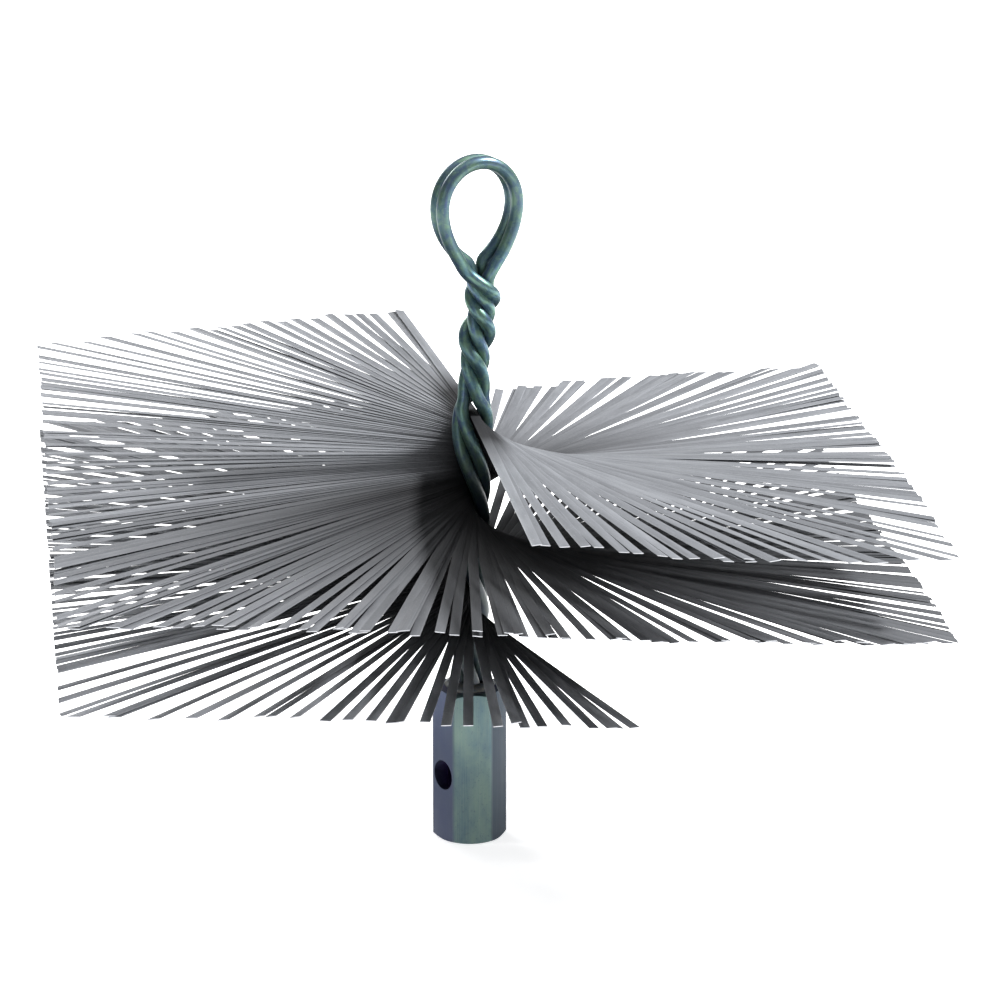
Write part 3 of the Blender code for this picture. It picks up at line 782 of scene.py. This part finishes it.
def add_flat_wire(bm, height, angle, fall, draw, places, tones, painted_shades):
    """One flat wire, from tip to tip through the stem; the topmost ones lean down at their front."""
    centre = stem_axis(height)
    turned = angle - TOP_FLAT_ANGLE
    tilt = TOP_TILT * (1 - ease(turned / TILT_TURN))
    front_fall = fall + tilt * ease(turned / FIRST_TILT_TURN)
    bend = TOP_BEND * (1 - ease(turned / TOP_BEND_TURN))
    first, second = [
        half_strand(centre, angle + turn + draw.uniform(-FLAT_ANGLE_SPREAD, FLAT_ANGLE_SPREAD), drop, draw)
        for turn, drop in ((0.0, front_fall), (math.pi + bend, fall - tilt))
    ]
    # Painted shade along the wire, from the stem outwards once the spiral has passed its first turn, reaching
    # further on the second half where the turn above covers it, and a painted shadow of the stem at the roots
    # of the topmost wires
    root_painted_shade = ease((turned - PAINTED_SHADE_START) / PAINTED_SHADE_TURN)
    deep = sum(ease((turned - start) / DEEP_PAINTED_SHADE_TURN) / 2 for start in DEEP_PAINTED_SHADE_STARTS)
    deep_reach = PAINTED_SHADE_REACH + deep * (DEEP_PAINTED_SHADE_REACH - PAINTED_SHADE_REACH)
    past_first = ease(turned / FIRST_PAINTED_SHADE_TURN)
    top_reach = FIRST_PAINTED_SHADE_REACH + past_first * (TOP_PAINTED_SHADE_REACH - FIRST_PAINTED_SHADE_REACH)
    mark = draw.random() * MARK_SPREAD
    tone = draw.random()
    count = len(FLAT_RING)
    swapped = [(count // 2 - 1 - step) % count for step in range(count)]
    run = [([ring[step] for step in swapped], -reach) for ring, reach in second[::-1]] + first
    rings = []
    for ring, reach in run:
        rings.append([bm.verts.new(point) for point in ring])
        places.extend((reach, across, mark) for across, up in FLAT_RING)
        tones.extend([tone] * count)
        painted_shade = max(
            root_painted_shade * (1 - ease(abs(reach) / (deep_reach if reach < 0 else PAINTED_SHADE_REACH))),
            TOP_PAINTED_SHADE * ease((1 - abs(reach) / top_reach) / (1 - TOP_PAINTED_SHADE_PLATEAU)),
        )
        painted_shades.extend([painted_shade] * count)
    for one, other in zip(rings, rings[1:]):
        for step in range(count):
            after = (step + 1) % count
            bm.faces.new((one[step], other[step], other[after], one[after]))
    for ring in (rings[0][::-1], rings[-1]):
        cap = bm.faces.new(ring)
        cap.material_index = 1


def make_flat_wires(materials):
    draw = random.Random(FLAT_SEED)
    first_sparse_below = len(BUNDLE_NAMES) - BOTTOM_SPARSE_BUNDLES
    for number, node in enumerate(BUNDLE_NAMES):
        bm = bmesh.new()
        places = []
        tones = []
        painted_shades = []
        dense = TOP_SPARSE_BUNDLES <= number < first_sparse_below
        count = SHADED_FLATS if number in SHADED_BUNDLES else DENSE_FLATS
        if not dense:
            count = TOP_SPARSE_FLATS if number < TOP_SPARSE_BUNDLES else BOTTOM_SPARSE_FLATS
        angles = bundle_angles(number, count, DENSE_CLOSE_STEPS if dense else SPARSE_CLOSE_STEPS, draw)
        for step, angle in enumerate(angles):
            passed = number + step / count
            fall = TOP_TIP_FALL - (TOP_TIP_FALL + BOTTOM_TIP_RISE) * passed / len(BUNDLE_NAMES)
            height = TOP_FLAT_HEIGHT - passed * BUNDLE_HEIGHT
            add_flat_wire(bm, height, angle, fall, draw, places, tones, painted_shades)
        bmesh.ops.recalc_face_normals(bm, faces=bm.faces)
        mesh = bpy.data.meshes.new(node + "_dressed")
        bm.to_mesh(mesh)
        bm.free()
        mesh.shade_smooth()
        mesh.set_sharp_from_angle(angle=STRIP_CREASE)
        set_attribute(mesh, "strip_place", "FLOAT_VECTOR", places)
        set_attribute(mesh, "strand_tone", "FLOAT", tones)
        set_attribute(mesh, "painted_shade", "FLOAT", painted_shades)
        bundle = link_mesh(node + "_dressed", mesh, materials)
        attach(bundle, "root")
        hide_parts(node)


def turned_cutter(name, outline):
    """A solid turned about Z from (radius, height) points that run down its outer side."""
    bm = bmesh.new()
    corners = [bm.verts.new((radius, 0, height)) for radius, height in outline]
    edges = [bm.edges.new(pair) for pair in zip(corners, corners[1:])]
    bmesh.ops.spin(
        bm,
        geom=corners + edges,
        cent=(0, 0, 0),
        axis=(0, 0, 1),
        angle=2 * math.pi,
        steps=TURNED_SIDES,
        use_merge=True,
    )
    bmesh.ops.remove_doubles(bm, verts=bm.verts, dist=MERGE_DISTANCE)
    bmesh.ops.recalc_face_normals(bm, faces=bm.faces)
    mesh = bpy.data.meshes.new(name)
    bm.to_mesh(mesh)
    bm.free()
    return link_mesh(name, mesh, [])


def cut(item, operation, other):
    """Applies one Boolean to the item and removes the other object."""
    modifier = item.modifiers.new(other.name, "BOOLEAN")
    modifier.operation = operation
    modifier.solver = "EXACT"
    modifier.object = other
    apply_modifiers(item)
    bpy.data.objects.remove(other, do_unlink=True)


def apply_modifiers(item):
    graph = bpy.context.evaluated_depsgraph_get()
    mesh = bpy.data.meshes.new_from_object(item.evaluated_get(graph))
    item.modifiers.clear()
    item.data = mesh


def hexagon_bar():
    bm = bmesh.new()
    bmesh.ops.create_cone(
        bm,
        cap_ends=True,
        segments=6,
        radius1=HEX_CORNER_RADIUS,
        radius2=HEX_CORNER_RADIUS,
        depth=COUPLING_LENGTH,
    )
    bmesh.ops.rotate(bm, verts=bm.verts, matrix=Matrix.Rotation(math.pi / 6, 3, "Z"))
    bmesh.ops.translate(bm, verts=bm.verts, vec=(0, 0, COUPLING_LENGTH / 2))
    long_edges = [edge for edge in bm.edges if abs(edge.verts[0].co.z - edge.verts[1].co.z) > HEX_INRADIUS]
    bmesh.ops.bevel(
        bm,
        geom=long_edges,
        offset=HEX_EDGE_ROUNDING,
        segments=HEX_EDGE_SEGMENTS,
        profile=0.5,
        affect="EDGES",
    )
    mesh = bpy.data.meshes.new("coupling_dressed")
    bm.to_mesh(mesh)
    bm.free()
    return link_mesh("coupling_dressed", mesh, [])


def chamfer_envelope():
    circle = HEX_INRADIUS * CHAMFER_CIRCLE_SHARE
    outside = HEX_CORNER_RADIUS + OVERRUN
    drop = (outside - circle) * math.tan(CHAMFER_SLOPE)
    outline = [
        (0, COUPLING_LENGTH),
        (circle, COUPLING_LENGTH),
        (outside, COUPLING_LENGTH - drop),
        (outside, drop),
        (circle, 0),
        (0, 0),
    ]
    return turned_cutter("chamfer_envelope", outline)


def rod_socket():
    mouth = ROD_SOCKET_RADIUS + SOCKET_MOUTH_CHAMFER + OVERRUN
    outline = [
        (0, ROD_SOCKET_DEPTH),
        (ROD_SOCKET_RADIUS, ROD_SOCKET_DEPTH - ROD_SOCKET_RADIUS * math.tan(SOCKET_FLOOR_CONE)),
        (ROD_SOCKET_RADIUS, SOCKET_MOUTH_CHAMFER),
        (mouth, -OVERRUN),
        (0, -OVERRUN),
    ]
    return turned_cutter("rod_socket", outline)


def stem_socket():
    outline = [
        (0, COUPLING_LENGTH + OVERRUN),
        (STEM_SOCKET_RADIUS, COUPLING_LENGTH + OVERRUN),
        (STEM_SOCKET_RADIUS, COUPLING_LENGTH - STEM_SOCKET_DEPTH),
        (0, COUPLING_LENGTH - STEM_SOCKET_DEPTH),
    ]
    return turned_cutter("stem_socket", outline)


def button_hole():
    outline = [
        (0, HEX_CORNER_RADIUS),
        (BUTTON_HOLE_RADIUS, HEX_CORNER_RADIUS),
        (BUTTON_HOLE_RADIUS, 0),
        (0, 0),
    ]
    hole = turned_cutter("button_hole", outline)
    turn = Matrix.Rotation(BUTTON_HOLE_FACET, 4, "Z") @ Matrix.Rotation(math.pi / 2, 4, "Y")
    hole.data.transform(Matrix.Translation((0, 0, BUTTON_HOLE_HEIGHT)) @ turn)
    return hole


def make_coupling(material):
    coupling = hexagon_bar()
    cut(coupling, "INTERSECT", chamfer_envelope())
    cut(coupling, "DIFFERENCE", rod_socket())
    cut(coupling, "DIFFERENCE", stem_socket())
    cut(coupling, "DIFFERENCE", button_hole())
    lips = coupling.modifiers.new("lips", "BEVEL")
    lips.width = CUT_LIP
    lips.segments = CUT_LIP_SEGMENTS
    lips.limit_method = "ANGLE"
    lips.angle_limit = CUT_LIP_ANGLE
    lips.harden_normals = False
    apply_modifiers(coupling)
    mesh = coupling.data
    mesh.materials.clear()
    mesh.materials.append(material)
    mesh.shade_smooth()
    mesh.set_sharp_from_angle(angle=COUPLING_CREASE)
    inside = [
        1.0 if math.hypot(vertex.co.x, vertex.co.y) < ROD_SOCKET_RADIUS + CUT_LIP else 0.0
        for vertex in mesh.vertices
    ]
    set_attribute(mesh, "bore", "FLOAT", inside)
    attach(coupling, "root")
    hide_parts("coupling")


def make_weld_bead(material):
    """A rippled ring of weld metal in the corner between the coupling and the stem."""
    bm = bmesh.new()
    rings = []
    for number in range(BEAD_ROUND_POINTS):
        bearing = 2 * math.pi * number / BEAD_ROUND_POINTS
        ripple = BEAD_RIPPLE_DEPTH * abs(math.sin(bearing * BEAD_RIPPLES / 2))
        wide_sway = BEAD_WIDE_SWAY * math.sin(BEAD_WIDE_LOBES * bearing + BEAD_WIDE_PHASE)
        sway = 1.0 + wide_sway + BEAD_FINE_SWAY * math.sin(BEAD_FINE_LOBES * bearing)
        ring = [(BEAD_INNER_RADIUS, 0.0)]
        for step in range(BEAD_ARC_POINTS + 1):
            rise = math.pi / 2 * step / BEAD_ARC_POINTS
            width = (BEAD_WIDTH * sway - ripple) * math.sin(rise)
            ring.append((BEAD_INNER_RADIUS + width, (BEAD_HEIGHT * sway - ripple) * math.cos(rise)))
        turn = Matrix.Rotation(bearing, 3, "Z")
        points = [turn @ Vector((radius, 0, COUPLING_LENGTH + rise)) for radius, rise in ring]
        rings.append([bm.verts.new(point) for point in points])
    for number, ring in enumerate(rings):
        following = rings[(number + 1) % len(rings)]
        for step in range(len(ring)):
            after = (step + 1) % len(ring)
            bm.faces.new((ring[step], ring[after], following[after], following[step]))
    bmesh.ops.recalc_face_normals(bm, faces=bm.faces)
    mesh = bpy.data.meshes.new("stem_weld_bead_dressed")
    bm.to_mesh(mesh)
    bm.free()
    mesh.shade_smooth()
    mesh.set_sharp_from_angle(angle=BEAD_CREASE)
    bead = link_mesh("stem_weld_bead_dressed", mesh, [material])
    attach(bead, "root")
    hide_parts("stem_weld_bead")


def make_floor():
    bpy.ops.mesh.primitive_plane_add(size=FLOOR_SIZE, location=FLOOR_CENTRE)
    floor = bpy.context.object
    floor.name = "studio_floor"
    floor.data.materials.append(floor_material())


def area_light(name, place, aim, size, power):
    data = bpy.data.lights.new(name, "AREA")
    data.shape = "RECTANGLE"
    data.size, data.size_y = size
    data.energy = power
    data.color = LAMP_COLOUR
    light = bpy.data.objects.new(name, data)
    light.location = place
    light.rotation_euler = (Vector(aim) - Vector(place)).to_track_quat("-Z", "Y").to_euler()
    bpy.context.scene.collection.objects.link(light)


def make_lights():
    world = bpy.data.worlds.new("studio")
    bpy.context.scene.world = world
    world.use_nodes = True
    background = world.node_tree.nodes["Background"]
    background.inputs["Color"].default_value = SKY_COLOUR
    background.inputs["Strength"].default_value = SKY_STRENGTH
    for name, lamp in LAMPS.items():
        area_light(name, **lamp)


def make_camera():
    """The camera stands where the photograph was taken from and looks through the middle of its image."""
    back = Vector(
        (
            math.sin(CAMERA_AZIMUTH) * math.cos(CAMERA_ELEVATION),
            -math.cos(CAMERA_AZIMUTH) * math.cos(CAMERA_ELEVATION),
            math.sin(CAMERA_ELEVATION),
        )
    )
    right = Vector((math.cos(CAMERA_AZIMUTH), math.sin(CAMERA_AZIMUTH), 0))
    up = back.cross(right)
    across = (IMAGE_SIDE / 2 - AIM_PIXEL[0]) / FOCAL_PIXELS
    down = (IMAGE_SIDE / 2 - AIM_PIXEL[1]) / FOCAL_PIXELS
    sight = (-back + across * right - down * up).normalized()
    data = bpy.data.cameras.new("photo_camera")
    data.sensor_width = SENSOR_WIDTH
    data.lens = SENSOR_WIDTH * FOCAL_PIXELS / IMAGE_SIDE
    data.clip_start = CLIP_START
    data.clip_end = CLIP_END
    camera = bpy.data.objects.new("photo_camera", data)
    camera.location = CAMERA_AIM + CAMERA_DISTANCE * back
    camera.rotation_euler = sight.to_track_quat("-Z", "Y").to_euler()
    bpy.context.scene.collection.objects.link(camera)
    bpy.context.scene.camera = camera


make_camera()
make_floor()
make_lights()
make_coupling(coupling_material())
make_weld_bead(weld_material())
make_stem(stem_material())
make_flat_wires([flat_wire_material(), cut_end_material()])
bpy.context.scene.view_settings.view_transform = "Standard"
